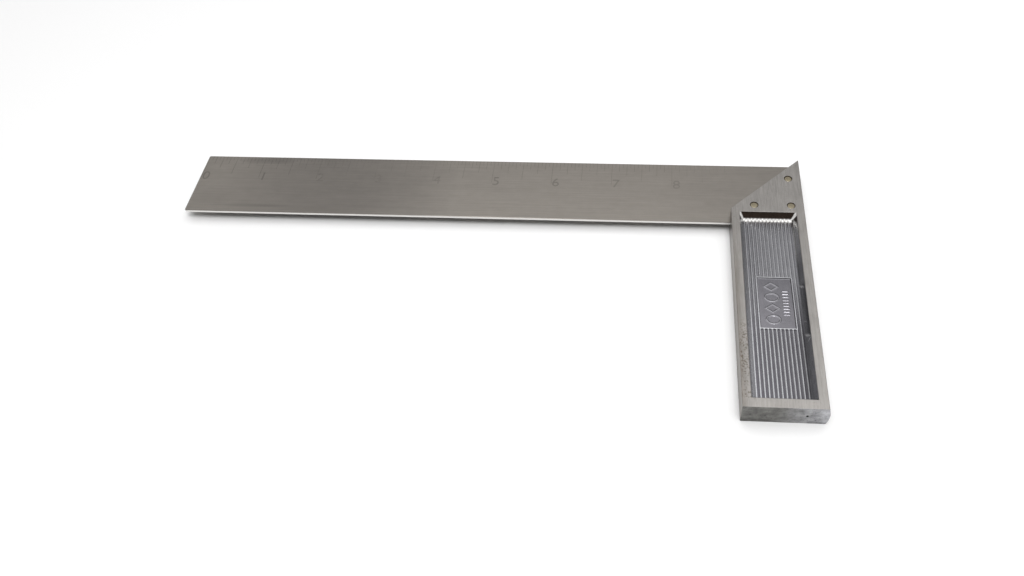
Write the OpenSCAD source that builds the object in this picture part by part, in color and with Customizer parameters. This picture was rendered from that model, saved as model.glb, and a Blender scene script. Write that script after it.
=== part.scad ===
// Try square: a steel blade let into a cast stock with a mitred head, held by three flush rivets.
//
// Frame: millimetres, +Z up, lying flat. The origin is the square's inside corner, where the blade's
// inner edge meets the stock's inner face, on the plane that the stock rests on. The blade runs
// towards -X and the stock towards -Y.

/* [Blade] */
// Overall length of the blade, with the end that is let into the stock
blade_length = 254; // [180:1:400]
// Width of the blade between its two straight edges
blade_width = 33.4; // [27:0.2:50]
// Thickness of the blade
blade_thickness = 1.2; // [0.8:0.1:1.8]

/* [Stock] */
// Width of the stock's flat faces
stock_width = 29; // [24:0.2:36]
// Length of the stock from the blade's inner edge to its foot
stock_drop = 89.2; // [60:0.2:140]
// Thickness of the stock
stock_thickness = 9.2; // [7:0.1:14]
// How far the stock's outer side bulges beyond its flat faces
side_crown = 0.8; // [0.2:0.1:2]
// Metal left between the blade's buried end and the stock's outer edge
slot_end_wall = 2.2; // [1.5:0.1:4]
// Gap left all round the blade in its slot
slot_gap = 0; // [0:0.01:0.1]

/* [Hand pockets] */
// Width of the rim along each side of a pocket
rim_side = 3.2; // [2.4:0.1:5]
// Width of the rim at the stock's foot
rim_foot = 3.8; // [2.4:0.1:8]
// Least land between a pocket's corner and the mitre
pocket_land = 3.4; // [2:0.1:6]
// Thickness of the web between the two pocket floors
web_thickness = 2.4; // [2.2:0.1:4]
// Draft of the pocket walls, in degrees from upright
pocket_draft = 26; // [5:1:35]
// Radius of the pocket's corners at the rim
pocket_corner = 1; // [0.4:0.1:2]
// Number of ribs across a pocket floor
rib_count = 13; // [9:1:15]
// Width of a rib; each one stands half its width above the floor
rib_width = 1; // [0.6:0.05:1.1]

/* [Raised panel] */
// Rib that the panel's frame starts on, counted from the stock's inner side
panel_first_rib = 3; // [2:1:5]
// Rib that the panel's frame ends on
panel_last_rib = 12; // [7:1:14]
// Length of the panel along the stock
panel_length = 24.8; // [18:0.2:40]
// Width of the panel's frame line
panel_line = 0.7; // [0.4:0.05:1.2]
// Height of the panel's raised figures
figure_height = 0.35; // [0.2:0.05:0.6]
// Number of large figures, by turns a ring and a lozenge
figure_count = 4; // [2:1:5]
// Width of a large figure, as a share of the panel's width
figure_width = 0.39; // [0.3:0.01:0.42]
// Length of a large figure, as a share of the panel's length
figure_length = 0.17; // [0.12:0.01:0.18]
// Distance between two large figures, as a share of the panel's length
figure_pitch = 0.21; // [0.19:0.005:0.22]
// Place of the large figures' middles across the panel, as a share of its width
figure_row = 0.39; // [0.35:0.01:0.42]
// Number of short bars beside the figures
bar_count = 9; // [5:1:12]
// Length of a short bar, as a share of the panel's width
bar_length = 0.15; // [0.1:0.01:0.18]
// Distance between two short bars, as a share of the panel's length
bar_pitch = 0.056; // [0.05:0.002:0.07]
// Place of the short bars' middles across the panel, as a share of its width
bar_row = 0.75; // [0.72:0.01:0.78]
// Width of the strokes of figures and bars
stroke_width = 0.6; // [0.4:0.05:0.8]

/* [Rivets] */
// Diameter of a rivet's shank
rivet_shank = 2.5; // [1.8:0.1:3]
// Diameter of a rivet's head
rivet_head = 3.2; // [3.2:0.1:4.5]
// Depth of a rivet's countersunk head
rivet_head_depth = 0.8; // [0.5:0.1:1.2]
// Depth of a finished head below the stock's face
rivet_recess = 0.1; // [0.05:0.05:0.3]
// Distance of the lower pair of rivets from the blade's inner edge
rivet_row = 6.5; // [4:0.1:10]
// Distance of the outer rivets from the stock's outer edge
rivet_edge = 5; // [4.2:0.1:8]
// Distance of the inner rivet from the stock's inner face
rivet_inset = 9.3; // [5:0.1:14]
// Least land between a rivet's centre and the mitre
rivet_land = 4.5; // [3:0.1:8]
// Distance from a pocket's end to the lower row of rivets
rivet_to_pocket = 3.8; // [3:0.1:8]

/* [Scale] */
// Smallest divisions in one numbered division
divisions = 16; // [8:8:16]
// Distance of the zero line from the blade's free end
scale_start = 0.5; // [0.2:0.1:2]
// Width of an engraved line
line_width = 0.2; // [0.1:0.05:0.4]
// Depth of an engraved line
line_depth = 0.1; // [0.05:0.01:0.2]
// Length of a numbered line
inch_line = 13; // [11:0.5:20]
// Length of a half line
half_line = 10.8; // [8:0.2:11]
// Length of a quarter line
quarter_line = 7.2; // [5:0.2:8]
// Length of an eighth line
eighth_line = 4.8; // [3:0.2:5]
// Length of a sixteenth line
sixteenth_line = 2.6; // [2:0.2:3]
// Height of a numeral
numeral_height = 5; // [3:0.1:6]
// Distance of a numeral's middle from the blade's outer edge
numeral_drop = 12.5; // [9:0.1:16]
// Distance of a numeral's middle from its line
numeral_shift = 1.9; // [1.2:0.1:3]

/* [Hidden] */
$fn = 48;
cut = 1;                                   // how far a cutting shape runs past a face
inch = 25.4;                               // length of one numbered division
steel = "#8c8780";
cast_metal = "#a09f9c";
brass = "#a3957c";

mid = stock_thickness / 2;                 // height of the blade's middle plane
let_in = stock_width - slot_end_wall;      // length of blade inside the stock
free_end = let_in - blade_length;          // x of the blade's free end
mitre_low = blade_width - stock_width;     // y of the mitre's lower corner, at 45 degrees
outer_face = stock_width + side_crown;     // x of the outer side's highest line
crown_radius = (mid * mid + side_crown * side_crown) / (2 * side_crown);

outer_x = stock_width - rivet_edge;
inner_x = max(rivet_inset, rivet_row - mitre_low + rivet_land * sqrt(2));
tip_y = outer_x + mitre_low - rivet_land * sqrt(2);
TIP = [outer_x, tip_y];
INNER = [inner_x, rivet_row];
OUTER = [outer_x, rivet_row];
RIVETS = [TIP, INNER, OUTER];

pocket_depth = (stock_thickness - web_thickness) / 2;
draft_run = pocket_depth * tan(pocket_draft);
pocket_foot = -stock_drop + rim_foot;
pocket_top = min(rivet_row - rivet_to_pocket, mitre_low + rim_side - pocket_land * sqrt(2));
floor_width = stock_width - 2 * (rim_side + draft_run);
rib_pitch = floor_width / rib_count;
rib_radius = rib_width / 2;
panel_middle = (pocket_foot + pocket_top) / 2;
panel_x0 = rib_x(panel_first_rib) - panel_line / 2;
panel_x1 = rib_x(panel_last_rib) + panel_line / 2;

function rib_x(i) = rim_side + draft_run + (i - 0.5) * rib_pitch;

// ---------- blade ----------

function unit(v) = v / norm(v);
function left_of(v) = [-v[1], v[0]];
function arc_points(c, r, a0, a1, steps = 16) =
    [for (k = [0:steps]) let (a = a0 + k * (a1 - a0) / steps) [c[0] + r[0] * cos(a), c[1] + r[1] * sin(a)]];

// Points of a path moved sideways, mitred where it turns
function beside(path, off) = [for (i = [0:len(path) - 1])
    let (
        before = left_of(unit(path[max(i, 1)] - path[max(i, 1) - 1])),
        next = min(i + 1, len(path) - 1),
        after = left_of(unit(path[next] - path[next - 1])),
        m = unit(before + after)
    ) path[i] + m * off / (m * after)];

// An open stroke of width w along a path
module stroke(path, w) {
    right = beside(path, -w / 2);
    polygon(concat(beside(path, w / 2), [for (i = [len(path) - 1:-1:0]) right[i]]));
}

// A closed oval stroke
module ring(c, r, w) difference() {
    polygon(arc_points(c, r + [w, w] / 2, 0, 345, 23));
    polygon(arc_points(c, r - [w, w] / 2, 0, 345, 23));
}

// A numeral two units high about its middle
module numeral(n, w) {
    if (n == 0) {
        ring([0, 0], [0.55, 0.95], w);
    } else if (n == 1) {
        stroke([[-0.35, 0.6], [0.02, 0.9], [0.02, -1]], w);
    } else if (n == 2) {
        stroke(concat(arc_points([0, 0.45], [0.52, 0.52], 170, -30), [[-0.5, -0.95], [0.55, -0.95]]), w);
    } else if (n == 3) {
        stroke(arc_points([0, 0.47], [0.48, 0.48], 155, -100), w);
        stroke(arc_points([0, -0.47], [0.52, 0.52], 100, -155), w);
    } else if (n == 4) {
        stroke([[0.25, -1], [0.25, 1]], w);
        stroke([[0.25, 0.9], [-0.6, -0.4], [0.6, -0.4]], w);
    } else if (n == 5) {
        stroke([[0.5, 0.93], [-0.42, 0.93], [-0.42, -0.05]], w);
        stroke(arc_points([0, -0.4], [0.57, 0.57], 138, -150), w);
    } else if (n == 6 || n == 9) {
        rotate(n == 9 ? 180 : 0) {
            ring([0, -0.42], [0.55, 0.55], w);
            stroke([[-0.42, -0.42], [-0.3, 0.35], [0.25, 1]], w);
        }
    } else if (n == 7) {
        stroke([[-0.52, 0.93], [0.5, 0.93], [-0.1, -1]], w);
    } else {
        ring([0, 0.48], [0.47, 0.45], w);
        ring([0, -0.45], [0.53, 0.52], w);
    }
}

function line_length(i) =
    i % divisions == 0 ? inch_line :
    i % (divisions / 2) == 0 ? half_line :
    i % (divisions / 4) == 0 ? quarter_line :
    i % (divisions / 8) == 0 ? eighth_line : sixteenth_line;

// Engraved lines along the blade's outer edge, with a numeral beside each numbered one
module scale_marks() {
    step = inch / divisions;
    last = floor((-free_end - scale_start) / step);
    for (i = [0:last]) {
        x = free_end + scale_start + i * step;
        translate([x - line_width / 2, blade_width - line_length(i), 0])
            cube([line_width, line_length(i) + cut, line_depth + cut]);
        if (i % divisions == 0 && x + numeral_height < 0)
            translate([x + numeral_shift, blade_width - numeral_drop, 0])
                linear_extrude(line_depth + cut)
                    scale(numeral_height / 2) numeral(i / divisions, 4 * line_width / numeral_height);
    }
}

module blade() color(steel)
    difference() {
        translate([free_end, 0, mid - blade_thickness / 2])
            cube([blade_length, blade_width, blade_thickness]);
        translate([0, 0, mid + blade_thickness / 2 - line_depth]) scale_marks();
        for (p = RIVETS) translate([p[0], p[1], mid - blade_thickness])
            cylinder(d = rivet_shank, h = 2 * blade_thickness);
    }

// ---------- stock ----------

// End view of the stock, x across and y up: flat on three sides and crowned on the outer one
module stock_section() {
    square([stock_width, stock_thickness]);
    intersection() {
        translate([outer_face - crown_radius, mid]) circle(crown_radius, $fn = 180);
        translate([stock_width - 1, 0]) square([side_crown + 2, stock_thickness]);
    }
}

module stock_outline()
    polygon([
        [0, -stock_drop], [outer_face, -stock_drop], [outer_face, blade_width],
        [stock_width, blade_width], [0, mitre_low]
    ]);

// Rounded rectangle from corner a to corner b, as a thin slice for a hull
module slice(a, b, r)
    for (x = [a[0] + r, b[0] - r], y = [a[1] + r, b[1] - r])
        translate([x, y, 0]) cylinder(r = r, h = 0.01, $fn = 24);

// Drafted recess below the plane z = 0
module pocket_cut() {
    wide = [[rim_side, pocket_foot], [stock_width - rim_side, pocket_top]];
    run = [draft_run, draft_run];
    hull() {
        translate([0, 0, 0.001]) slice(wide[0], wide[1], pocket_corner);
        translate([0, 0, -pocket_depth]) slice(wide[0] + run, wide[1] - run, pocket_corner / 2);
    }
}

// A lozenge drawn with strokes of width w, with its corners at distances r from its middle
module lozenge(r, w) difference() {
    polygon([for (k = [0:3]) [(r[0] + w / 2) * cos(90 * k), (r[1] + w / 2) * sin(90 * k)]]);
    polygon([for (k = [0:3]) [(r[0] - w / 2) * cos(90 * k), (r[1] - w / 2) * sin(90 * k)]]);
}

// The panel's figures from its inner side's middle: a row of rings and lozenges, and a row of short bars
module figures() {
    wide = panel_x1 - panel_x0;
    r = [figure_width * wide, figure_length * panel_length] / 2 - [stroke_width, stroke_width] / 2;
    for (i = [0:figure_count - 1])
        translate([figure_row * wide, (i - (figure_count - 1) / 2) * figure_pitch * panel_length])
            if (i % 2 == 0) ring([0, 0], r, stroke_width); else lozenge(r, stroke_width);
    for (i = [0:bar_count - 1])
        translate([bar_row * wide, (i - (bar_count - 1) / 2) * bar_pitch * panel_length])
            square([bar_length * wide, stroke_width], center = true);
}

// What stands on a pocket's floor, with the floor at z = 0
module pocket_relief() {
    difference() {
        for (i = [1:rib_count])
            translate([rib_x(i), pocket_top - pocket_corner / 2, 0]) rotate([90, 0, 0])
                cylinder(r = rib_radius, h = pocket_top - pocket_foot - pocket_corner, $fn = 24);
        translate([panel_x0, panel_middle - panel_length / 2, -cut])
            cube([panel_x1 - panel_x0, panel_length, 2 * cut]);
    }
    translate([panel_x0, panel_middle - panel_length / 2, -rib_radius / 2]) difference() {
        cube([panel_x1 - panel_x0, panel_length, rib_radius * 1.5]);
        translate([panel_line, panel_line, -cut])
            cube([panel_x1 - panel_x0 - 2 * panel_line, panel_length - 2 * panel_line, 2 * cut + rib_width]);
    }
    translate([panel_x0, panel_middle, -figure_height])
        linear_extrude(2 * figure_height) figures();
}

// Puts its children on the upper face, and turned over onto the lower one
module both_faces() {
    translate([0, 0, stock_thickness]) children();
    mirror([0, 0, 1]) children();
}

module rivet_hole() {
    cylinder(d = rivet_shank, h = stock_thickness);
    for (up = [0, 1]) translate([0, 0, up * stock_thickness]) mirror([0, 0, up])
        translate([0, 0, -cut]) cylinder(d = rivet_head, h = cut + rivet_recess);
    rivet_body();
}

module stock() color(cast_metal)
    difference() {
        union() {
            difference() {
                intersection() {
                    translate([0, blade_width, 0]) rotate([90, 0, 0])
                        linear_extrude(blade_width + stock_drop) stock_section();
                    linear_extrude(stock_thickness) stock_outline();
                }
                both_faces() pocket_cut();
            }
            both_faces() translate([0, 0, -pocket_depth]) pocket_relief();
        }
        translate([-cut, -slot_gap, mid - blade_thickness / 2 - slot_gap])
            cube([let_in + slot_gap + cut, blade_width + cut + slot_gap, blade_thickness + 2 * slot_gap]);
        for (p = RIVETS) translate(p) rivet_hole();
    }

// ---------- rivets ----------

// Shank with a countersunk head at each end
module rivet_body() {
    low = rivet_recess;
    high = stock_thickness - rivet_recess;
    rotate_extrude() polygon([
        [0, low], [rivet_head / 2, low], [rivet_shank / 2, low + rivet_head_depth],
        [rivet_shank / 2, high - rivet_head_depth], [rivet_head / 2, high], [0, high]
    ]);
}

module rivet(place) color(brass)
    translate(place) rivet_body();

blade();
stock();
rivet(TIP);  // rivet_tip
rivet(INNER);  // rivet_inner
rivet(OUTER);  // rivet_outer
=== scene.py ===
"""Try square: the visible pieces, their finishes and the stage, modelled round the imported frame."""

import math

import bmesh
import bpy
from mathutils import Matrix, Vector, noise


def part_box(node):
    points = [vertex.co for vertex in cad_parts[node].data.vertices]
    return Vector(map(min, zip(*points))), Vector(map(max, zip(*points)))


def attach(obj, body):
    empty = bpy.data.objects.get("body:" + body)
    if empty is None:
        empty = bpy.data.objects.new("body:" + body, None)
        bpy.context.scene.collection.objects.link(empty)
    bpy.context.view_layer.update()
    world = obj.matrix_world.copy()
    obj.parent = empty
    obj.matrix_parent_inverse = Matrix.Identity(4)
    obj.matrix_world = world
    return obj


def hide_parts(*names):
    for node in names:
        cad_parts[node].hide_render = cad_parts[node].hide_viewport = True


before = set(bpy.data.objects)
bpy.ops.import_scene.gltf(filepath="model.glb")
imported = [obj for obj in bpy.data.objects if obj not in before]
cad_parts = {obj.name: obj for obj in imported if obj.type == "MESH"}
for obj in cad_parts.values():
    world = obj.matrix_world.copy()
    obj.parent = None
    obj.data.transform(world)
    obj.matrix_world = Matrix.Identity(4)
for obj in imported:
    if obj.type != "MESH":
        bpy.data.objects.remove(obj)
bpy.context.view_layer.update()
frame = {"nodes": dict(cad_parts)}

bl_info = {
    "name": "Try Square",
    "version": (1, 0, 0),
    "blender": (4, 5, 0),
    "location": "View3D > Sidebar > Try Square",
    "description": "Builds a riveted try square with a ribbed cast stock and a graduated blade",
    "category": "Add Mesh",
}

MM = 0.001
RIPPLE = 0.012 * MM  # unevenness of the as-cast floor
BLADE_LOW, BLADE_HIGH = (Vector(corner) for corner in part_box("blade"))
STOCK_LOW, STOCK_HIGH = (Vector(corner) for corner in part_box("stock"))
RIVETS = ("rivet_tip", "rivet_inner", "rivet_outer")

# Marks of use: centre and radii of an oval in millimetres, its turn in degrees, and its strength.
BLADE_STAINS = (
    ((-199, 3.6), (19, 1.1), 0, 0.4),
    ((-200, 31), (14, 2.2), 0, 0.45),
    ((-218, 8), (9, 7), 0, 0.2),
)
RIM_STAINS = (((1.9, -67), (2, 17), 0, 1.5), ((3, -84), (4, 2.5), 0, 1.0))
WALL_NICKS = (
    ((24.9, -34.4), (2.2, 0.4), -62, 1.0),
    ((24.7, -50.5), (0.8, 0.2), -60, 0.5),
    ((24.9, -57), (2, 0.4), -58, 1.0),
    ((25.3, -59), (1, 0.2), 50, 1.0),
)
FOOT_PITS = (((22.2, 4.6), (0.55, 0.6), 0, 2.0),)
PANEL_SHADE_X = 15.1  # middle of the panel's floor, where the painted shade is darker, in millimetres from the inner face

# Lights: place and size in metres
OVERHEAD = ((0.0, 0.04, 0.9), 1.28)
KEY = ((0.05, -0.35, 1.0), 0.4)


# ---------- settings ----------


def length_prop(name, description, default, **more):
    """A length setting in metres."""
    return bpy.props.FloatProperty(
        name=name, description=description, default=default, unit="LENGTH", precision=5, **more
    )


def share_prop(name, description, default):
    """A setting between 0 and 1."""
    return bpy.props.FloatProperty(
        name=name, description=description, default=default, min=0, max=1, subtype="FACTOR"
    )


def count_prop(name, description, default, low, high):
    """A whole number."""
    return bpy.props.IntProperty(name=name, description=description, default=default, min=low, max=high)


def colour_prop(name, description, default):
    """A linear RGB colour."""
    return bpy.props.FloatVectorProperty(
        name=name, description=description, default=default, subtype="COLOR", size=3, min=0, max=1
    )


class BladeSettings(bpy.types.PropertyGroup):
    """Sizes of the blade and of the scale engraved on it."""

    edge: length_prop("Edge", "Rounding of the blade's edges", 0.12 * MM)
    corner: length_prop("Corner", "Rounding of the free end's corners", 0.7 * MM)
    division: length_prop("Division", "Length of one numbered division", 25.4 * MM)
    steps: count_prop("Steps", "Smallest divisions in a numbered one", 16, 8, 16)
    start: length_prop("Start", "Distance of the zero line from the free end", 0.5 * MM)
    line: length_prop("Line", "Width of an engraved line", 0.2 * MM)
    depth: length_prop("Depth", "Depth of an engraved line", 0.05 * MM)
    whole: length_prop("Whole", "Length of a numbered line", 13 * MM)
    half: length_prop("Half", "Length of a half line", 10.8 * MM)
    quarter: length_prop("Quarter", "Length of a quarter line", 7.2 * MM)
    eighth: length_prop("Eighth", "Length of an eighth line", 4.8 * MM)
    sixteenth: length_prop("Sixteenth", "Length of a sixteenth line", 2.6 * MM)
    numeral: length_prop("Numeral", "Height of a numeral", 5 * MM)
    numeral_drop: length_prop("Numeral drop", "Distance of a numeral from the outer edge", 12.5 * MM)
    numeral_shift: length_prop("Numeral shift", "Distance of a numeral from its line", 1.9 * MM)


class StockSettings(bpy.types.PropertyGroup):
    """Sizes of the cast stock."""

    crown: length_prop("Crown", "Bulge of the outer side", 0.8 * MM)
    edge: length_prop("Edge", "Rounding of the stock's arrises", 0.12 * MM)
    slot_wall: length_prop("Slot wall", "Metal between the blade's buried end and the outer side", 2.2 * MM)
    rim: length_prop("Rim", "Width of the rim along each side of a pocket", 3.2 * MM)
    foot_rim: length_prop("Foot rim", "Width of the rim at the foot", 3.8 * MM)
    pocket_top: length_prop("Pocket top", "Pocket's end, above the blade's inner edge", 2.7 * MM)
    web: length_prop("Web", "Thickness of metal between the pockets", 2.4 * MM)
    draft: bpy.props.FloatProperty(
        name="Draft", description="Slope of the pocket walls from upright",
        default=math.radians(26), subtype="ANGLE",
    )
    blend: length_prop("Blend", "Fillet where a pocket's walls meet its floor", 0.8 * MM)
    lip: length_prop("Lip", "Rounding of a pocket's edge", 0.08 * MM)
    ribs: count_prop("Ribs", "Ribs across a pocket", 13, 9, 15)
    rib_pitch: length_prop("Rib pitch", "Distance between ribs", 1.5 * MM)
    rib_shift: length_prop("Rib shift", "Distance of the middle rib from the middle of the stock", 0.1 * MM)
    rib_height: length_prop("Rib height", "Height of a rib above the floor", 0.5 * MM)
    fan: share_prop("Fan", "Share by which the ribs close up towards the head", 0.035)


class PanelSettings(bpy.types.PropertyGroup):
    """Sizes of the raised panel among the ribs."""

    first: count_prop("First rib", "Rib that the panel starts on", 3, 2, 5)
    last: count_prop("Last rib", "Rib that the panel ends on", 12, 7, 14)
    length: length_prop("Length", "Length of the panel along the stock", 24.8 * MM)
    frame: length_prop("Frame", "Width of the panel's raised frame", 0.5 * MM)
    rise: length_prop("Rise", "Height of the raised figures", 0.15 * MM)
    stroke: length_prop("Stroke", "Width of the figures' strokes", 0.5 * MM)
    figures: count_prop("Figures", "Number of rings and lozenges", 4, 2, 5)
    figure_row: share_prop("Figure row", "Place of the figures across the panel", 0.39)
    figure_width: share_prop("Figure width", "Width of a figure, of the panel's width", 0.39)
    figure_length: share_prop("Figure length", "Length of a figure, of the panel's length", 0.17)
    figure_pitch: share_prop("Figure pitch", "Distance between figures, of the panel's length", 0.21)
    bars: count_prop("Bars", "Number of short bars", 9, 5, 12)
    bar_trim: length_prop("Bar trim", "Metal taken off round each bar", 0.1 * MM)
    bar_row: share_prop("Bar row", "Place of the bars across the panel", 0.75)
    bar_length: share_prop("Bar length", "Length of a bar, of the panel's width", 0.15)
    bar_pitch: share_prop("Bar pitch", "Distance between bars, of the panel's length", 0.056)


class RivetSettings(bpy.types.PropertyGroup):
    """Sizes of the rivets."""

    shank: length_prop("Shank", "Radius of the shank", 1.25 * MM)
    head_depth: length_prop("Head depth", "Depth of a countersunk head", 0.8 * MM)
    crown: length_prop("Crown", "Height of a peened head's middle", 0.06 * MM)
    gap: length_prop("Gap", "Dark gap round a head", 0.12 * MM)


class FinishSettings(bpy.types.PropertyGroup):
    """Colours of the metals, and of the light and shade painted on them."""

    steel: colour_prop("Steel", "Satin blade steel", (0.3, 0.277, 0.25))
    # Darker steel for the stains at the free end, and for the reflection shade painted over the blade's
    # middle-left and towards the stock.
    smudge: colour_prop("Stain and shade", "Handled, darkened steel", (0.16, 0.149, 0.138))
    # Painted highlight: the blade's narrow sides are painted bright so that they read as lit.
    bare: colour_prop("Side highlight", "Bright metal on the blade's narrow sides", (0.75, 0.74, 0.72))
    etch: share_prop("Etch", "Brightness of the engraved lines beside the steel", 0.74)
    ground: colour_prop("Ground", "Ground faces of the casting", (0.31, 0.296, 0.282))
    stain: colour_prop("Stain", "Brown stains on the ground faces", (0.13, 0.11, 0.09))
    cast: colour_prop("Cast", "As-cast surface inside the pockets", (0.46, 0.46, 0.48))
    groove: colour_prop("Groove", "Shadowed metal between the ribs", (0.13, 0.125, 0.14))
    # Bright metal for the scratches on the walls, the painted light on the side walls, and the painted
    # highlight on the folds and rib ends of the upper wall.
    worn: colour_prop("Brightened", "Bright metal on the folds of the upper wall", (0.95, 0.94, 0.92))
    # Painted shade: the pockets' side walls are painted dark in place of the dark room that they reflect.
    skin: colour_prop("Skin", "Dark casting skin on the pockets' side walls", (0.17, 0.17, 0.175))
    # Painted shade: the sawn end is painted darker than the ground faces.
    end: colour_prop("End", "Dull sawn end of the stock", (0.2, 0.198, 0.188))
    # Dark brown for the pocket's upper wall, partly deposit and partly painted shade, and for the painted
    # shadow round the rivet heads.
    soot: colour_prop("Soot and shade", "Brown deposit on the pocket's upper wall", (0.12, 0.088, 0.068))
    brass: colour_prop("Brass", "Peened rivet heads", (0.28, 0.245, 0.175))


class StageSettings(bpy.types.PropertyGroup):
    """Camera, floor and lights."""

    camera_place: bpy.props.FloatVectorProperty(
        name="Camera place", description="Where the camera stands",
        default=(-0.03541, -0.25688, 0.27256), subtype="TRANSLATION",
    )
    camera_turn: bpy.props.FloatVectorProperty(
        name="Camera turn", description="How the camera is turned",
        default=tuple(math.radians(a) for a in (39.801, 2.085, 3.863)), subtype="EULER",
    )
    lens: bpy.props.FloatProperty(name="Lens", description="Focal length in mm", default=32.03)
    shift: bpy.props.FloatVectorProperty(
        name="Shift", description="Shift of the frame", size=2, default=(-0.0621, -0.0024)
    )
    floor: colour_prop("Floor", "Colour of the floor", (0.97, 0.97, 0.97))
    lamp: bpy.props.FloatProperty(name="Lamp", description="Watts of the wide overhead light", default=6.3)
    key: bpy.props.FloatProperty(name="Key", description="Watts of the light above the camera", default=4)
    sky_north: bpy.props.FloatProperty(
        name="Far light", description="Brightness of the room beyond the object", default=0.62
    )
    sky_south: bpy.props.FloatProperty(
        name="Near light", description="Brightness of the room behind the camera", default=0.2
    )


GROUPS = {
    "square_blade": BladeSettings,
    "square_stock": StockSettings,
    "square_panel": PanelSettings,
    "square_rivets": RivetSettings,
    "square_finish": FinishSettings,
    "square_stage": StageSettings,
}


# ---------- shader maths ----------


class Socket:
    """A shader value that can be used in Python arithmetic."""

    def __init__(self, tree, link):
        self.tree, self.link = tree, link

    def maths(self, operation, *values):
        """A Math node on some values."""
        return add_node(self.tree, "Math", {"operation": operation}, 0, *values)

    def __add__(self, other):
        return self.maths("ADD", self, other)

    def __radd__(self, other):
        return self.maths("ADD", other, self)

    def __sub__(self, other):
        return self.maths("SUBTRACT", self, other)

    def __rsub__(self, other):
        return self.maths("SUBTRACT", other, self)

    def __mul__(self, other):
        return self.maths("MULTIPLY", self, other)

    def __rmul__(self, other):
        return self.maths("MULTIPLY", other, self)

    def __truediv__(self, other):
        return self.maths("DIVIDE", self, other)

    def __abs__(self):
        return self.maths("ABSOLUTE", self)

    def clamp(self):
        """The value held between 0 and 1."""
        return self.maths("MINIMUM", self.maths("MAXIMUM", self, 0.0), 1.0)


def join(tree, place, value):
    """Links a socket, or sets a plain value."""
    if isinstance(value, Socket):
        tree.links.new(value.link, place)
    else:
        place.default_value = value


def add_node(tree, kind, settings=None, output=0, *values, **named):
    """Adds a node, with its settings and its inputs in order or by name, and returns an output."""
    node = tree.nodes.new("ShaderNode" + kind)
    for key, value in (settings or {}).items():
        setattr(node, key, value)
    for i, value in enumerate(values):
        join(tree, node.inputs[i], value)
    for key, value in named.items():
        join(tree, node.inputs[key], value)
    return Socket(tree, node.outputs[output])


def new_metal(name):
    """A metal, with its tree, its shader and its object coordinates."""
    material = bpy.data.materials.new(name)
    material.use_nodes = True
    tree = material.node_tree
    shader = tree.nodes["Principled BSDF"]
    shader.inputs["Metallic"].default_value = 1.0
    return material, tree, shader, add_node(tree, "TexCoord", output="Object")


def axes(place):
    """The three coordinates of a vector socket, in millimetres."""
    tree = place.tree
    split = tree.nodes.new("ShaderNodeSeparateXYZ")
    tree.links.new(place.link, split.inputs[0])
    return [Socket(tree, split.outputs[i]) / MM for i in range(3)]


def grain(place, size, detail=3.0, rough=0.6):
    """Noise about 0.5 whose features measure size, in millimetres along X, Y and Z."""
    scale = [1 / (s * MM) for s in size]
    spread = add_node(place.tree, "Mapping", Vector=place, Scale=scale)
    return add_node(place.tree, "TexNoise", Vector=spread, Scale=1.0, Detail=detail, Roughness=rough)


def ramp(value, low, high):
    """0 where value is at low and 1 where it is at high, held at the ends."""
    return ((value - low) / (high - low)).clamp()


def patch(x, y, centre, radii, turn=0.0):
    """1 at the middle of an oval patch that is turned by some degrees, and 0 outside it."""
    c, s = math.cos(math.radians(turn)), math.sin(math.radians(turn))
    dx, dy = x - centre[0], y - centre[1]
    along, across = (dx * c + dy * s) / radii[0], (dy * c - dx * s) / radii[1]
    return (1.0 - (along * along + across * across)).clamp()


def patches(x, y, marks):
    """Sum of oval patches, each given as (centre, radii, turn, strength)."""
    total = 0.0
    for centre, radii, turn, strength in marks:
        total = patch(x, y, centre, radii, turn) * strength + total
    return total


def rgba(colour):
    """A colour setting as four numbers, and a socket as it is."""
    return colour if isinstance(colour, Socket) else (*colour, 1.0)


def blend(factor, first, second):
    """The first colour at factor 0 and the second at 1."""
    mix = factor.tree.nodes.new("ShaderNodeMix")
    mix.data_type = "RGBA"
    for place, value in zip((mix.inputs[0], mix.inputs[6], mix.inputs[7]), (factor, first, second)):
        join(factor.tree, place, value if value is factor else rgba(value))
    return Socket(factor.tree, mix.outputs[2])


def shade(colour, level):
    """A colour made lighter or darker by a value."""
    tree = level.tree
    grey = add_node(tree, "CombineXYZ", None, 0, level, level, level)
    value = colour if isinstance(colour, Socket) else tuple(colour)
    return add_node(tree, "VectorMath", {"operation": "MULTIPLY"}, 0, value, grey)


def bumps(height, distance):
    """A normal from a height that spans a distance in millimetres."""
    return add_node(height.tree, "Bump", Distance=distance * MM, Height=height)


# ---------- finishes ----------


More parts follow.
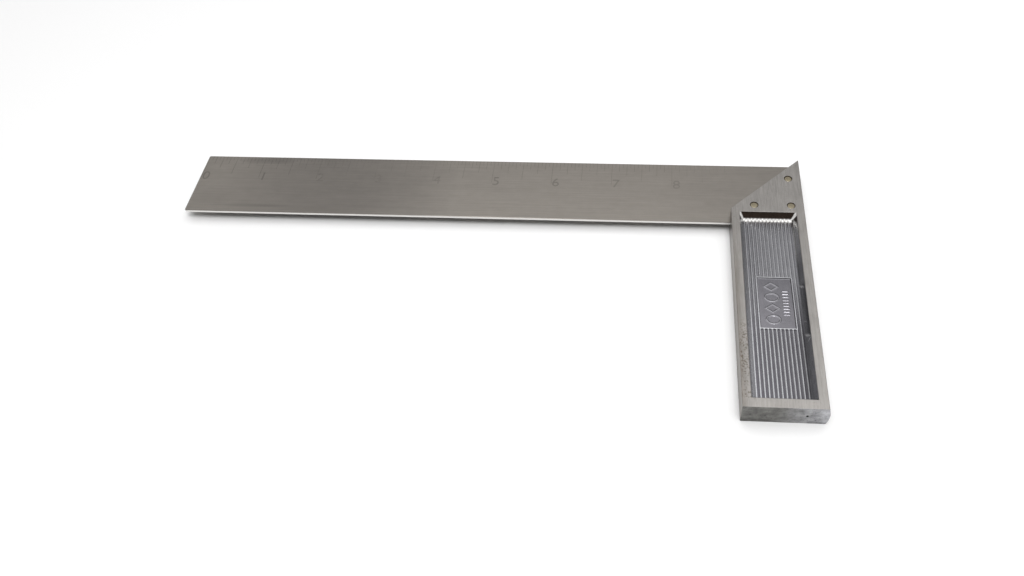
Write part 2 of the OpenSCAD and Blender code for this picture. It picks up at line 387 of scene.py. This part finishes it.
def finish_steel(finish, name="blade_steel", marks=False):
    """Satin steel, brushed along the blade, stained at its free end and painted darker as reflection shade
    over its middle-left, with a painted highlight on its narrow sides; or the marks cut into it.
    """
    material, tree, shader, place = new_metal(name)
    x, y, z = axes(place)
    streaks = grain(place, (30, 0.35, 0.5), 4.0)
    fine = grain(place, (6, 0.07, 0.5), 2.0)
    clouds = grain(place, (30, 12, 9), 3.0)
    mottle = grain(place, (4, 3, 3), 4.0)
    # Painted reflection shade: a darker patch over the blade's middle-left and a darkening towards the
    # stock, mixed with the stains and clouds below.
    reflection_shade = patch(x, y, (-165, 14), (52, 70)) * 0.7 + ramp(x, -30, 25) * 0.35
    stains = patches(x, y, BLADE_STAINS) * (0.5 + mottle * 0.6)
    marks_and_painted_light = (reflection_shade + stains + (clouds - 0.5) * 0.3).clamp()
    # Mask of the blade's narrow sides, which get the painted highlight.
    sides = ramp(abs(z - (BLADE_LOW.z + BLADE_HIGH.z) / 2 / MM), 0.5, 0.4)
    level = 1.0 + (streaks - 0.5) * 0.3 + (fine - 0.5) * 0.25 + (mottle - 0.5) * 0.15
    if marks:
        # How far the engraved lines are worn lighter, towards the steel's colour.
        worn = patch(x, y, (-150, 20), (42, 60)) + ramp(grain(place, (14, 14, 9), 2.0), 0.4, 0.75) * 0.5
        worn = worn + ramp(x, -45, -5) * 0.7
        level = level * (finish.etch + worn.clamp() * (0.95 - finish.etch))
    steel = shade(blend(marks_and_painted_light, finish.steel, finish.smudge), level)
    join(tree, shader.inputs["Base Color"], steel if marks else blend(sides, steel, finish.bare))
    join(tree, shader.inputs["Roughness"], 0.34 + (streaks - 0.5) * 0.1 + marks_and_painted_light * 0.06)
    join(tree, shader.inputs["Normal"], bumps(streaks * 0.6 + fine * 0.4, 0.003))
    return material


def ground_colour(finish, x, y, level, speckle, pits):
    """Colour of the ground faces, browner along the inner rim and where they are pitted."""
    inner_rim = ramp(x, 2.6, 0.2) * ramp(y, 5, -30)
    tinge = inner_rim * 0.5 + pits * 0.7 + ramp(speckle, 0.6, 0.7) * 0.2
    return shade(blend(tinge.clamp(), finish.ground, finish.stain), level)


def rib_colour(finish, shape, x, y, depth, cloud):
    """Colour of the ribs and the panel: crests with a painted sheen, and painted shade in the grooves and
    on the panel's floor, darkest near the foot.
    """
    groove, crest = shape.deep / MM, (shape.deep - shape.s.rib_height) / MM
    on_crest = ramp(depth, groove - 0.1, crest + 0.15)
    half_long, half_wide = shape.panel.length / 2 / MM, shape.panel_wide / 2 / MM
    on_panel = ramp(abs(y - shape.panel_mid / MM), half_long, half_long - 1)
    on_panel = on_panel * ramp(abs(x - PANEL_SHADE_X), half_wide - 0.4, half_wide - 1)
    near_foot = ramp(y, -28, -58)
    # Painted shade between the crests, deepest near the foot and on the panel's floor.
    dark = (1.0 - on_crest) * (0.35 + near_foot * 0.65 + on_panel * (0.5 - near_foot * 0.65))
    last_rib = ramp(x, shape.rib(shape.s.ribs) / MM - 1.1, shape.rib(shape.s.ribs) / MM - 0.5)
    # Painted sheen: near the foot, lighter on the inner side and darker towards the outer side and on the
    # last rib.
    painted_sheen = 0.95 + near_foot * (0.17 - ramp(x, 5, 22) * 0.27 - last_rib * 0.3)
    return shade(blend(dark, finish.cast, finish.groove), painted_sheen + cloud)


def pocket_colour(finish, shape, x, y, depth, scuffs, mottle):
    """Colour inside a pocket, and how far a painted highlight covers it."""
    colour = rib_colour(finish, shape, x, y, depth, (scuffs - 0.5) * 0.2 + (mottle - 0.5) * 0.2)

    off_middle, floor_half = abs(x - shape.middle / MM), shape.floor_half / MM
    side = ramp(off_middle, floor_half - 0.1, floor_half + 0.2)
    # Side walls: painted shade, with painted light on the upper part of the right wall and a little on the
    # left wall, and real bright scratches.
    painted_wall_light = patch(x, y, (25, 0), (3.5, 24)) * 0.3 + ramp(x, 15, 13) * 0.05
    marks_and_painted_light = (patches(x, y, WALL_NICKS) * 0.4 + painted_wall_light).clamp()
    colour = blend(side, colour, shade(blend(marks_and_painted_light, finish.skin, finish.worn), 0.7 + mottle * 0.6))

    wall_foot = (shape.y1 - shape.run) / MM
    crest = (shape.deep - shape.s.rib_height) / MM
    upper = ramp(y, wall_foot - 0.2, wall_foot + 0.1) * ramp(depth, crest - 0.05, crest - 0.35)
    # The upper wall: dark brown, partly deposit and partly painted shade.
    colour = blend(upper, colour, shade(finish.soot, 0.5 + mottle))

    fold = off_middle + depth * math.tan(shape.s.draft)
    edge_half = (shape.middle - shape.x0) / MM
    # Painted highlight on the upper wall's folded corners and on the rib ends at its foot.
    folds = upper * ramp(fold, edge_half - 0.8, edge_half - 0.4)
    ends = ramp(y, wall_foot - 1.5, wall_foot - 0.4) * ramp(y, wall_foot + 0.5, wall_foot + 0.2)
    ends = ends * ramp(ramp(y, wall_foot - 1, wall_foot), -0.3388, 0.1612) * (1.0 - side)
    bright = (folds + ends).clamp()
    return blend(bright, colour, finish.worn), bright


def end_colour(finish, x, z, mottle, speckle):
    """Colour of the sawn end, painted darker as shade, blotched, and painted lighter towards the outer
    side.
    """
    blotches = 0.7 + ramp(mottle, 0.35, 0.65) * 0.5 - ramp(speckle, 0.58, 0.66) * 0.4
    return shade(blend(ramp(x, 12, 29), finish.end, finish.cast), blotches - patches(x, z, FOOT_PITS))


def inside_pocket(shape, x, y, depth):
    """1 inside the pockets, and 0 on the ground faces and the stock's sides."""
    half_wide, half_long = (shape.x1 - shape.x0) / 2 / MM, (shape.y1 - shape.y0) / 2 / MM
    across = ramp(abs(x - shape.middle / MM), half_wide + 0.1, half_wide)
    along = ramp(abs(y - shape.panel_mid / MM), half_long + 0.1, half_long)
    return ramp(depth, 0.1, 0.3) * across * along


def finish_casting(finish, shape):
    """Ground faces with lines along the stock, and cast metal in the pockets, with painted shade on their
    walls, a dark brown deposit with painted shade on the upper wall, and a painted shadow round the rivets.
    """
    material, tree, shader, place = new_metal("cast_stock")
    x, y, z = axes(place)
    depth = shape.height / 2 / MM - abs(z - shape.mid / MM)
    lines = grain(place, (0.16, 30, 0.5), 4.0)
    scuffs = grain(place, (0.6, 6, 2), 3.0)
    clouds = grain(place, (7, 9, 7), 3.0)
    speckle = grain(place, (0.6, 0.8, 0.5), 3.0)
    mottle = grain(place, (3, 3, 2), 4.0)
    texture = grain(place, (0.4, 0.4, 0.4), 3.0)

    pits = ramp(speckle, 0.5, 0.6) * patches(x, y, RIM_STAINS).clamp()
    level = 1.0 + (lines - 0.5) * 0.5 + (scuffs - 0.5) * 0.5 + (clouds - 0.5) * 0.3
    ground = ground_colour(finish, x, y, level, speckle, pits)
    pocket, bright = pocket_colour(finish, shape, x, y, depth, scuffs, mottle)
    inside = inside_pocket(shape, x, y, depth)
    foot = ramp(y, shape.foot / MM + 0.16, shape.foot / MM + 0.04)
    colour = blend(foot, blend(inside, ground, pocket), end_colour(finish, x, z, mottle, speckle))
    # Painted shadow in the gap round each rivet's head.
    colour = blend(rivet_dirt(x, y, shape), colour, finish.soot)

    relief = lines * (1.0 - inside) * 0.3 + texture * inside * 0.15 + speckle * foot * 2.0 - pits
    join(tree, shader.inputs["Base Color"], colour)
    join(tree, shader.inputs["Metallic"], 1.0 - bright * inside * 0.75)
    join(tree, shader.inputs["Roughness"], 0.38 + (scuffs - 0.5) * 0.12 - inside * 0.16 + foot * 0.15)
    join(tree, shader.inputs["Normal"], bumps(relief, 0.012))
    return material


def rivet_dirt(x, y, shape):
    """1 in the gap round each rivet's head, where a shadow is painted."""
    gap_shade = 0.0
    for place, radius in shape.heads:
        dx, dy = x - place.x / MM, y - place.y / MM
        out = (dx * dx + dy * dy).maths("SQRT", dx * dx + dy * dy)
        gap_shade = ramp(out, radius / MM + 0.14, radius / MM + 0.04) + gap_shade
    return gap_shade.clamp()


def finish_brass(finish):
    """Dull rivet heads, filed along the stock."""
    material, tree, shader, place = new_metal("rivet_brass")
    lines = grain(place, (0.12, 6, 0.5), 3.0)
    spots = grain(place, (0.6, 0.6, 0.6), 2.0)
    level = 0.95 + (lines - 0.5) * 0.4 + (spots - 0.5) * 0.5
    join(tree, shader.inputs["Base Color"], shade(finish.brass, level))
    join(tree, shader.inputs["Roughness"], 0.42 + (spots - 0.5) * 0.2)
    join(tree, shader.inputs["Normal"], bumps(lines + spots, 0.02))
    return material


# ---------- mesh helpers ----------


def box_mesh(bm, low, high):
    """Adds a closed box."""
    verts = bmesh.ops.create_cube(bm, size=1.0)["verts"]
    size = Vector(high) - Vector(low)
    bmesh.ops.scale(bm, vec=size, verts=verts)
    bmesh.ops.translate(bm, vec=Vector(low) + size / 2, verts=verts)


def round_edges(bm, edges, radius, segments):
    """Rounds edges to a radius."""
    bmesh.ops.bevel(
        bm, geom=edges, offset=radius, offset_type="OFFSET", segments=segments,
        profile=0.5, affect="EDGES", material=-1, clamp_overlap=True,
    )


def append(bm, other):
    """Adds another bmesh's geometry, and frees it."""
    mesh = bpy.data.meshes.new("part")
    other.to_mesh(mesh)
    other.free()
    bm.from_mesh(mesh)
    bpy.data.meshes.remove(mesh)


def make_object(name, bm, materials=()):
    """Makes a bmesh an object at the origin."""
    mesh = bpy.data.meshes.new(name)
    bm.to_mesh(mesh)
    bm.free()
    for material in materials:
        mesh.materials.append(material)
    obj = bpy.data.objects.new(name, mesh)
    bpy.context.scene.collection.objects.link(obj)
    return obj


def shade_mesh(mesh, sharp, planes=()):
    """Smooth shading, with edges past an angle kept sharp and true planes kept flat."""
    mesh.shade_smooth()
    mesh.set_sharp_from_angle(angle=math.radians(sharp))
    for face in mesh.polygons:
        if any(abs(face.normal.dot(plane)) > 0.99999 for plane in planes):
            face.use_smooth = False


def carve(obj, *cutters):
    """Cuts other objects out of an object, and removes them."""
    for cutter in cutters:
        cut = obj.modifiers.new("cut", "BOOLEAN")
        cut.operation, cut.solver, cut.object = "DIFFERENCE", "EXACT", cutter
    evaluated = obj.evaluated_get(bpy.context.evaluated_depsgraph_get())
    mesh = bpy.data.meshes.new_from_object(evaluated)
    obj.modifiers.clear()
    obj.data = mesh
    for cutter in cutters:
        bpy.data.objects.remove(cutter)


def spun(profile, place, steps):
    """A bmesh of a profile of (radius, height) points turned round an upright axis at a place."""
    bm = bmesh.new()
    verts = [bm.verts.new((place.x + r, place.y, h)) for r, h in profile]
    edges = [bm.edges.new(pair) for pair in zip(verts, verts[1:])]
    bmesh.ops.spin(
        bm, geom=verts + edges, cent=place, axis=(0, 0, 1), angle=math.tau, steps=steps,
        use_merge=True, use_duplicate=False,
    )
    bmesh.ops.remove_doubles(bm, verts=bm.verts[:], dist=1e-7)
    bmesh.ops.recalc_face_normals(bm, faces=bm.faces[:])
    return bm


def smooth_step(value, low, high):
    """0 at low to 1 at high, with level ends."""
    t = min(1.0, max(0.0, (value - low) / (high - low)))
    return t * t * (3 - 2 * t)


def soft_min(a, b, size):
    """The smaller of two heights, with a rounded corner of a size where they meet."""
    near = max(size - abs(a - b), 0.0) / size
    return min(a, b) - near * near * size / 4


# ---------- blade ----------


def scale_lines(blade):
    """Place, length and number, if it has one, of each engraved line."""
    step = blade.division / blade.steps
    lengths = ((1, blade.whole), (2, blade.half), (4, blade.quarter), (8, blade.eighth))
    for i in range(int((-BLADE_LOW.x - blade.start) / step) + 1):
        size = next((size for parts, size in lengths if i % (blade.steps // parts) == 0), blade.sixteenth)
        number = i // blade.steps if i % blade.steps == 0 else None
        yield BLADE_LOW.x + blade.start + i * step, size, number


def numeral_mesh(number, height, depth):
    """A closed mesh of a numeral, centred on the origin."""
    cap_share = 0.73
    curve = bpy.data.curves.new("numeral", "FONT")
    curve.body, curve.size, curve.extrude = str(number), height / cap_share, depth
    curve.align_x, curve.align_y, curve.resolution_u = "CENTER", "CENTER", 4
    obj = bpy.data.objects.new("numeral", curve)
    bpy.context.scene.collection.objects.link(obj)
    mesh = bpy.data.meshes.new_from_object(obj.evaluated_get(bpy.context.evaluated_depsgraph_get()))
    bpy.data.objects.remove(obj)
    return mesh


def mark_cutter(blade, metals):
    """One object holding every line and numeral that is cut into the blade."""
    bm = bmesh.new()
    top = BLADE_HIGH.z
    for x, size, number in scale_lines(blade):
        low = (x - blade.line / 2, BLADE_HIGH.y - size, top - blade.depth)
        box_mesh(bm, low, (x + blade.line / 2, BLADE_HIGH.y + MM, top + MM))
        if number is not None and x + blade.numeral < 0:
            first = len(bm.verts)
            bm.from_mesh(numeral_mesh(number, blade.numeral, blade.depth))
            bm.verts.ensure_lookup_table()
            place = Vector((x + blade.numeral_shift, BLADE_HIGH.y - blade.numeral_drop, top))
            bmesh.ops.translate(bm, vec=place, verts=bm.verts[first:])
    bmesh.ops.remove_doubles(bm, verts=bm.verts[:], dist=1e-7)
    for face in bm.faces:
        face.material_index = 1
    return make_object("marks", bm, metals)


def build_blade(settings, steel, etched):
    """The blade: a thin strip with soft edges and engraved marks."""
    bm = bmesh.new()
    box_mesh(bm, BLADE_LOW, BLADE_HIGH)
    upright = [e for e in bm.edges if abs(e.verts[0].co.z - e.verts[1].co.z) > MM / 2]
    round_edges(bm, [e for e in upright if e.verts[0].co.x < 0], settings.corner, 5)
    flat = [e for e in bm.edges if abs(e.verts[0].co.z - e.verts[1].co.z) < MM / 2]
    round_edges(bm, flat, settings.edge, 2)
    obj = make_object("blade_graduated", bm, (steel, etched))
    carve(obj, mark_cutter(settings, (steel, etched)))
    shade_mesh(obj.data, 40, (Vector((1, 0, 0)), Vector((0, 1, 0)), Vector((0, 0, 1))))
    return obj


# ---------- stock ----------


class StockShape:
    """Places and heights of the stock, worked out from its settings and the frame, in metres."""

    def __init__(self, stock, panel, rivets):
        self.s, self.panel, self.rivets = stock, panel, rivets
        self.width = STOCK_HIGH.x - stock.crown
        self.height = STOCK_HIGH.z - STOCK_LOW.z
        self.mid = (STOCK_HIGH.z + STOCK_LOW.z) / 2
        self.foot, self.tip = STOCK_LOW.y, STOCK_HIGH.y
        self.mitre = self.tip - self.width
        self.deep = (self.height - stock.web) / 2
        self.run = self.deep * math.tan(stock.draft)
        self.x0, self.x1 = stock.rim, self.width - stock.rim
        self.y0, self.y1 = self.foot + stock.foot_rim, stock.pocket_top
        self.middle = self.width / 2
        self.floor_half = self.middle - self.x0 - self.run
        self.pitch = stock.rib_pitch
        self.panel_low = self.rib(panel.first) - panel.frame / 2
        self.panel_wide = self.rib(panel.last) + panel.frame / 2 - self.panel_low
        self.panel_mid = (self.y0 + self.y1) / 2
        self.margin = 0.5 * MM
        self.heads = []
        for name in RIVETS:
            low, high = (Vector(corner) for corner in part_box(name))
            self.heads.append(((low + high) / 2, (high.x - low.x) / 2))

    def rib(self, number):
        """x of a rib's crest."""
        return self.middle - self.s.rib_shift + (number - (self.s.ribs + 1) / 2) * self.pitch

    def spread(self, y):
        """Width of the row of ribs at y, as a share of its width at the foot."""
        return 1 - self.s.fan * (y - self.y0) / (self.y1 - self.y0)

    def unfanned(self, x, y):
        """x that a point would have if the ribs ran parallel."""
        left = self.x0 + self.run
        return left + (x - left) / self.spread(y)

    def fanned(self, x, y):
        """x of a column of the pocket's mesh at y, which follows the ribs between the walls."""
        left, right = self.x0 + self.run, self.rib(self.s.ribs)
        if x > right:
            end = self.x1 + self.margin
            return end - (end - x) * (end - self.fanned(right, y)) / (end - right)
        return left + (x - left) * self.spread(y) if x > left else x

    def figure_gap(self, x, y):
        """Distance from the middle line of the nearest of the panel's strokes."""
        panel, long = self.panel, self.panel.length
        dx = x - self.panel_low - panel.figure_row * self.panel_wide
        half_x = (panel.figure_width * self.panel_wide - panel.stroke) / 2
        half_y = (panel.figure_length * long - panel.stroke) / 2
        gaps = []
        for i in range(panel.figures):
            dy = y - self.panel_mid - (i - (panel.figures - 1) / 2) * panel.figure_pitch * long
            u, v = dx / half_x, dy / half_y
            if i % 2 == 0:
                out = math.hypot(u, v) + 1e-9
                slope = math.hypot(u / half_x, v / half_y) / out
            else:
                out, slope = abs(u) + abs(v), math.hypot(1 / half_x, 1 / half_y)
            gaps.append(abs(out - 1) / max(slope, 1e-9))
        reach = max(abs(x - self.panel_low - panel.bar_row * self.panel_wide)
                    - panel.bar_length * self.panel_wide / 2, 0)
        for i in range(panel.bars):
            dy = y - self.panel_mid - (i - (panel.bars - 1) / 2) * panel.bar_pitch * long
            gaps.append(math.hypot(dy, reach) + panel.bar_trim)
        return min(gaps)

    def relief(self, x, y):
        """Height of the ribs, the frame and the figures above the pocket's floor."""
        panel, soft = self.panel, 0.14 * MM
        across = self.unfanned(x, y) - self.panel_low
        inner = max(-across, across - self.panel_wide)
        beyond = max(inner, abs(y - self.panel_mid) - panel.length / 2)
        wave = 0.5 + 0.5 * math.cos(math.tau * (self.unfanned(x, y) - self.rib(1)) / self.pitch)
        ribs = self.s.rib_height * wave * smooth_step(beyond, -panel.frame / 2, soft)
        off_line = abs(beyond + panel.frame / 2)
        height = max(ribs, self.s.rib_height * smooth_step(off_line, panel.frame / 2 + soft, soft))
        if beyond < -panel.frame:
            gap = self.figure_gap(x, y)
            height = max(height, panel.rise * smooth_step(gap, panel.stroke / 2 + soft, soft / 2))
        return height

    def depth(self, x, y):
        """Depth of the pocket's surface below the stock's face."""
        s = self.s
        floor = self.deep - self.relief(x, y)
        floor += RIPPLE * noise.noise(Vector((x * 1.5, y * 0.6, 0)) / (3 * MM))
        slope = 1 / math.tan(s.draft)
        sides = soft_min((x - self.x0) * slope, (self.x1 - x) * slope, s.blend)
        ends = soft_min((y - self.y0) * slope, (self.y1 - y) * slope, s.blend)
        wall = soft_min(sides, ends, s.blend)
        return max(0.0, soft_min(floor, wall, s.blend) - 0.5 * s.lip) if wall > s.lip else self.lip(wall)

    def lip(self, wall):
        """Depth close to the pocket's edge, which is rounded into the face."""
        t = max(wall + self.s.lip, 0.0)
        return t * t / (4 * self.s.lip) if wall < self.s.lip else wall


def stations(*stretches):
    """Places along a line, from stretches of (start, end, step)."""
    places = []
    for start, end, step in stretches:
        count = max(1, round(abs(end - start) / step))
        places += [start + (end - start) * i / count for i in range(count)]
    return places + [stretches[-1][1]]


def pocket_lines(shape):
    """Columns and rows of a pocket's surface, closer where its shape turns."""
    edge, fine, wide = shape.margin, 0.17 * MM, 1.2 * MM
    first = shape.rib(1) - shape.pitch / 2
    last = shape.rib(shape.s.ribs) + shape.pitch / 2
    columns = stations(
        (shape.x0 - edge, first, fine),
        (first, last, shape.pitch / 10),
        (last, shape.x1 + edge, fine),
    )
    half = shape.panel.length / 2 + 0.6 * MM
    reach = shape.run + shape.s.blend
    rows = stations(
        (shape.y0 - edge, shape.y0 + reach, fine),
        (shape.y0 + reach, shape.panel_mid - half, wide),
        (shape.panel_mid - half, shape.panel_mid + half, fine),
        (shape.panel_mid + half, shape.y1 - reach, wide),
        (shape.y1 - reach, shape.y1 + edge, fine),
    )
    return columns, rows


def pocket_surface(shape):
    """A bmesh of the upper pocket, with a flat margin in the stock's face."""
    columns, rows = pocket_lines(shape)
    across, along = len(columns) - 1, len(rows) - 1
    bm = bmesh.new()
    bmesh.ops.create_grid(bm, x_segments=across, y_segments=along, size=0.5)
    for vert in bm.verts:
        y = rows[round((vert.co.y + 0.5) * along)]
        x = shape.fanned(columns[round((vert.co.x + 0.5) * across)], y)
        vert.co = x, y, STOCK_HIGH.z - shape.depth(x, y)
    return bm


def stock_shell(shape):
    """The stock's outside as a closed solid, cut along the lines of the pockets' margins."""
    bm = bmesh.new()
    outline = [(0, shape.foot), (shape.width, shape.foot), (shape.width, shape.tip), (0, shape.mitre)]
    face = bm.faces.new([bm.verts.new((x, y, STOCK_LOW.z)) for x, y in outline])
    grown = bmesh.ops.extrude_face_region(bm, geom=[face])["geom"]
    raised = [item for item in grown if isinstance(item, bmesh.types.BMVert)]
    bmesh.ops.translate(bm, vec=(0, 0, shape.height), verts=raised)
    bmesh.ops.recalc_face_normals(bm, faces=bm.faces[:])
    round_edges(bm, bm.edges[:], shape.s.edge, 3)
    levels = 8
    edge = shape.margin
    cuts = [((0, 0, STOCK_LOW.z + shape.height * i / levels), (0, 0, 1)) for i in range(1, levels)]
    cuts += [((x, 0, 0), (1, 0, 0)) for x in (shape.x0 - edge, shape.x1 + edge, shape.width - MM)]
    cuts += [((0, y, 0), (0, 1, 0)) for y in (shape.y0 - edge, shape.y1 + edge)]
    for place, normal in cuts:
        geometry = bm.verts[:] + bm.edges[:] + bm.faces[:]
        bmesh.ops.bisect_plane(bm, geom=geometry, dist=1e-8, plane_co=place, plane_no=normal)
    crown = shape.s.crown
    radius = (shape.height ** 2 / 4 + crown ** 2) / (2 * crown)
    for vert in bm.verts:
        share = min(1.0, max(0.0, (vert.co.x - shape.width + MM) / MM))
        rise = vert.co.z - shape.mid
        vert.co.x += share * (math.sqrt(radius ** 2 - rise ** 2) - radius + crown)
    return bm


def open_pocket(bm, shape, z):
    """Takes out the plain face over a pocket at height z, and divides its edges like the pocket's."""
    centre = Vector((shape.middle, shape.panel_mid, z))
    level = [face for face in bm.faces if abs(face.normal.z) > 0.99]
    lid = min(level, key=lambda face: (face.calc_center_median() - centre).length)
    sides = lid.edges[:]
    if len(sides) != 4:
        raise RuntimeError("the face over the pocket isn't a plain rectangle")
    bmesh.ops.delete(bm, geom=[lid], context="FACES_ONLY")
    columns, rows = pocket_lines(shape)
    for side in sides:
        a, b = (vert.co for vert in side.verts)
        axis = 0 if abs(a.x - b.x) > abs(a.y - b.y) else 1
        places = rows if axis else columns
        parts, low, high = len(places) - 1, places[0], places[-1]
        made = bmesh.ops.subdivide_edges(bm, edges=[side], cuts=parts - 1)["geom_inner"]
        for vert in (item for item in made if isinstance(item, bmesh.types.BMVert)):
            vert.co[axis] = places[round((vert.co[axis] - low) / (high - low) * parts)]


def rivet_holes(shape):
    """One object with the three rivets' holes, a little wider than their heads."""
    bm = bmesh.new()
    rivets, clearance, chamfer = shape.rivets, 0.03 * MM, 0.08 * MM
    for place, radius in shape.heads:
        wide = radius + clearance
        half = [(0, 2 * MM), (wide + chamfer, 2 * MM), (wide + chamfer, 0), (wide, -0.1 * MM)]
        half += [(wide, -0.25 * MM), (rivets.shank, -rivets.head_depth - 0.35 * MM)]
        profile = [(r, STOCK_HIGH.z + h) for r, h in half]
        profile += [(r, STOCK_LOW.z - h) for r, h in reversed(half)]
        append(bm, spun(profile, place, 48))
    return make_object("rivet_holes", bm)


def slot_cutter(shape):
    """The slot that the blade is let into."""
    bm = bmesh.new()
    gap = 0.03 * MM
    low = (-MM, -gap, BLADE_LOW.z - gap)
    box_mesh(bm, low, (shape.width - shape.s.slot_wall + gap, shape.tip + MM, BLADE_HIGH.z + gap))
    return make_object("slot", bm)


def build_stock(shape, metal):
    """The casting: ground outside, slotted head, and a ribbed pocket on each face."""
    obj = make_object("stock_casting", stock_shell(shape), (metal,))
    carve(obj, slot_cutter(shape), rivet_holes(shape))
    bm = bmesh.new()
    bm.from_mesh(obj.data)
    for z in (STOCK_LOW.z, STOCK_HIGH.z):
        open_pocket(bm, shape, z)
    upper = pocket_surface(shape)
    lower = upper.copy()
    flip = Matrix.Translation((0, 0, 2 * shape.mid)) @ Matrix.Scale(-1, 4, (0, 0, 1))
    bmesh.ops.transform(lower, matrix=flip, verts=lower.verts[:])
    bmesh.ops.reverse_faces(lower, faces=lower.faces[:])
    append(bm, upper)
    append(bm, lower)
    bmesh.ops.remove_doubles(bm, verts=bm.verts[:], dist=1e-6)
    bm.to_mesh(obj.data)
    bm.free()
    planes = (Vector((1, 0, 0)), Vector((0, 1, 0)), Vector((0, 0, 1)), Vector((-1, 1, 0)).normalized())
    shade_mesh(obj.data, 40, planes)
    return obj


# ---------- rivets ----------


def build_rivet(node, settings, metal):
    """A rivet with a lightly crowned, peened head at each end."""
    low, high = (Vector(corner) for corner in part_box(node))
    head = (high.x - low.x) / 2 - settings.gap
    crown, soft = settings.crown, 0.08 * MM
    half = [(0, 0), (head * 0.45, -crown * 0.2), (head * 0.8, -crown * 0.6), (head - soft, -crown)]
    half += [(head, -crown - soft), (settings.shank, -settings.head_depth)]
    profile = [(r, high.z + h) for r, h in half] + [(r, low.z - h) for r, h in reversed(half)]
    obj = make_object(node + "_peened", spun(profile, (low + high) / 2, 48), (metal,))
    shade_mesh(obj.data, 50)
    return obj


# ---------- stage ----------


def soft_light(name, place, size, power, level=False):
    """A square area light that faces the object, or straight down."""
    light = bpy.data.lights.new(name, "AREA")
    light.shape, light.size, light.energy = "SQUARE", size, power
    obj = bpy.data.objects.new(name, light)
    bpy.context.scene.collection.objects.link(obj)
    obj.location = place
    if not level:
        obj.rotation_euler = (-Vector(place)).to_track_quat("-Z", "Y").to_euler()


def room_light(stage):
    """A world that is brighter beyond the object than behind the camera."""
    world = bpy.data.worlds.new("room")
    world.use_nodes = True
    tree = world.node_tree
    direction = add_node(tree, "TexCoord", output="Generated")
    split = tree.nodes.new("ShaderNodeSeparateXYZ")
    tree.links.new(direction.link, split.inputs[0])
    far = ramp(Socket(tree, split.outputs[1]), -0.2, 0.6)
    level = far * (stage.sky_north - stage.sky_south) + stage.sky_south
    join(tree, tree.nodes["Background"].inputs["Strength"], level)
    tree.nodes["Background"].inputs["Color"].default_value = (1, 1, 1, 1)
    bpy.context.scene.world = world


def lay_floor(stage):
    """A plain pale floor."""
    bm = bmesh.new()
    bmesh.ops.create_grid(bm, x_segments=4, y_segments=4, size=3.0)
    paint = bpy.data.materials.new("floor_paint")
    paint.use_nodes = True
    surface = paint.node_tree.nodes["Principled BSDF"]
    surface.inputs["Base Color"].default_value = rgba(stage.floor)
    surface.inputs["Roughness"].default_value = 0.9
    floor = make_object("floor", bm, (paint,))


def place_camera(stage):
    """The camera that the object is seen from."""
    scene = bpy.context.scene
    camera = bpy.data.cameras.new("camera")
    camera.lens, camera.sensor_width, camera.clip_start = stage.lens, 36.0, 0.01
    camera.shift_x, camera.shift_y = stage.shift
    eye = bpy.data.objects.new("camera", camera)
    scene.collection.objects.link(eye)
    eye.location, eye.rotation_euler = stage.camera_place, stage.camera_turn
    scene.camera = eye


# ---------- operators ----------


def finish_piece(obj, node):
    """Puts a piece in a node's place."""
    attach(obj, "root")
    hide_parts(node)


class SQUARE_OT_blade(bpy.types.Operator):
    """Builds the graduated blade"""

    bl_idname = "square.blade"
    bl_label = "Blade"

    def execute(self, context):
        scene = context.scene
        steel = finish_steel(scene.square_finish)
        etched = finish_steel(scene.square_finish, "etched_steel", True)
        finish_piece(build_blade(scene.square_blade, steel, etched), "blade")
        return {"FINISHED"}


class SQUARE_OT_stock(bpy.types.Operator):
    """Builds the cast stock"""

    bl_idname = "square.stock"
    bl_label = "Stock"

    def execute(self, context):
        scene = context.scene
        shape = StockShape(scene.square_stock, scene.square_panel, scene.square_rivets)
        metal = finish_casting(scene.square_finish, shape)
        finish_piece(build_stock(shape, metal), "stock")
        return {"FINISHED"}


class SQUARE_OT_rivets(bpy.types.Operator):
    """Builds the three rivets"""

    bl_idname = "square.rivets"
    bl_label = "Rivets"

    def execute(self, context):
        scene = context.scene
        metal = finish_brass(scene.square_finish)
        for node in RIVETS:
            finish_piece(build_rivet(node, scene.square_rivets, metal), node)
        return {"FINISHED"}


class SQUARE_OT_stage(bpy.types.Operator):
    """Sets up the floor, the lights and the camera"""

    bl_idname = "square.stage"
    bl_label = "Stage"

    def execute(self, context):
        stage = context.scene.square_stage
        context.scene.view_settings.view_transform = "Standard"
        place_camera(stage)
        lay_floor(stage)
        room_light(stage)
        soft_light("overhead", *OVERHEAD, stage.lamp, level=True)
        soft_light("key", *KEY, stage.key)
        return {"FINISHED"}


OPERATORS = (SQUARE_OT_blade, SQUARE_OT_stock, SQUARE_OT_rivets, SQUARE_OT_stage)


class SQUARE_PT_panel(bpy.types.Panel):
    """Lists the pieces of the square and their settings"""

    bl_idname = "SQUARE_PT_panel"
    bl_label = "Try Square"
    bl_space_type = "VIEW_3D"
    bl_region_type = "UI"
    bl_category = "Try Square"

    def draw(self, context):
        for operator in OPERATORS:
            self.layout.operator(operator.bl_idname)
        for group, kind in GROUPS.items():
            column = self.layout.column()
            for name in kind.__annotations__:
                column.prop(getattr(context.scene, group), name)


CLASSES = (*GROUPS.values(), *OPERATORS, SQUARE_PT_panel)


def register():
    """Adds the classes and the scene's settings."""
    for item in CLASSES:
        bpy.utils.register_class(item)
    for name, kind in GROUPS.items():
        setattr(bpy.types.Scene, name, bpy.props.PointerProperty(type=kind))


def unregister():
    """Takes the settings and the classes away."""
    for name in GROUPS:
        delattr(bpy.types.Scene, name)
    for item in reversed(CLASSES):
        bpy.utils.unregister_class(item)


def main():
    """Builds the whole square."""
    register()
    bpy.ops.square.blade()
    bpy.ops.square.stock()
    bpy.ops.square.rivets()
    bpy.ops.square.stage()


if __name__ == "__main__":
    main()
